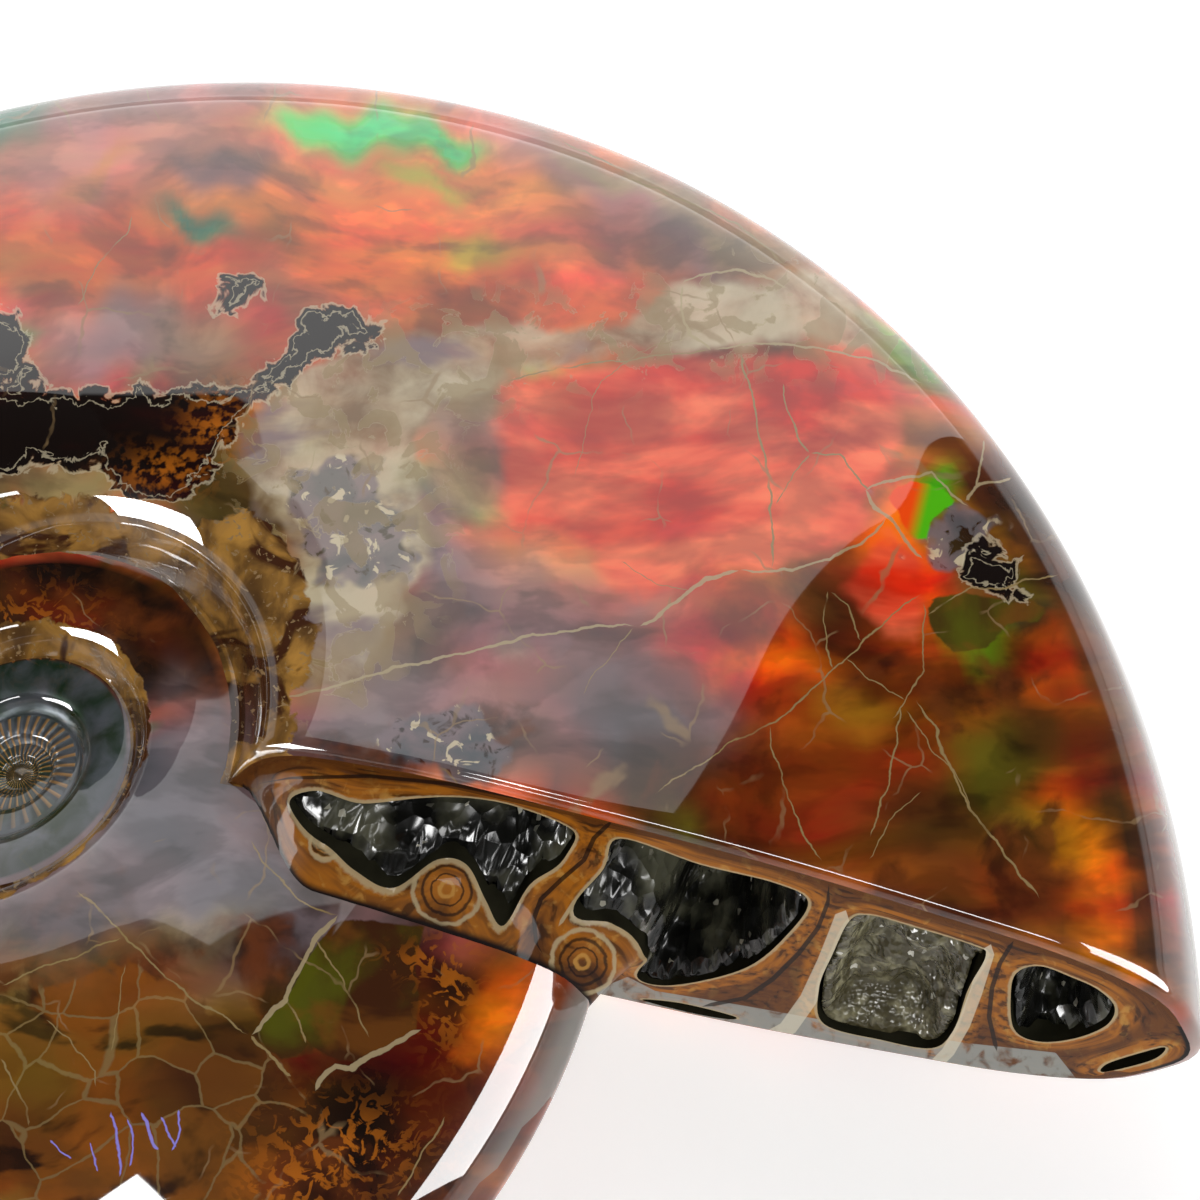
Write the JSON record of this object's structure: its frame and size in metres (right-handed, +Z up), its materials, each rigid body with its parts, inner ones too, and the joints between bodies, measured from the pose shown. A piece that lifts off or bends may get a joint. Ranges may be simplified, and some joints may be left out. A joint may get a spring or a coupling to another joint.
{
  "type": "craspedodiscus ammonite",
  "caption": "Polished disc-shaped ammonite fossil lying on its flank, cut across at one end to show hollow crystal-lined chambers.",
  "frame": {"origin": "on the resting surface, under the middle of the shell's outline", "axes": "+Z up, shell lying on its flank; +X along the cut end towards the keel; the cut end faces -Y"},
  "size_m": [0.0796, 0.0682, 0.0172],
  "materials": {
    "polished_nacre": "mirror-polished iridescent shell and calcite, red, orange and brown with green patches and cream veins",
    "pyrite_crust": "rough dark crust of tiny glittering crystals"
  },
  "bodies": {
    "root": {"ammonite": "polished_nacre", "inner_chamber_crust": "pyrite_crust", "middle_chamber_crust": "pyrite_crust", "outer_chamber_crust": "pyrite_crust", "keel_chamber_crust": "pyrite_crust"}
  },
  "joints": []
}
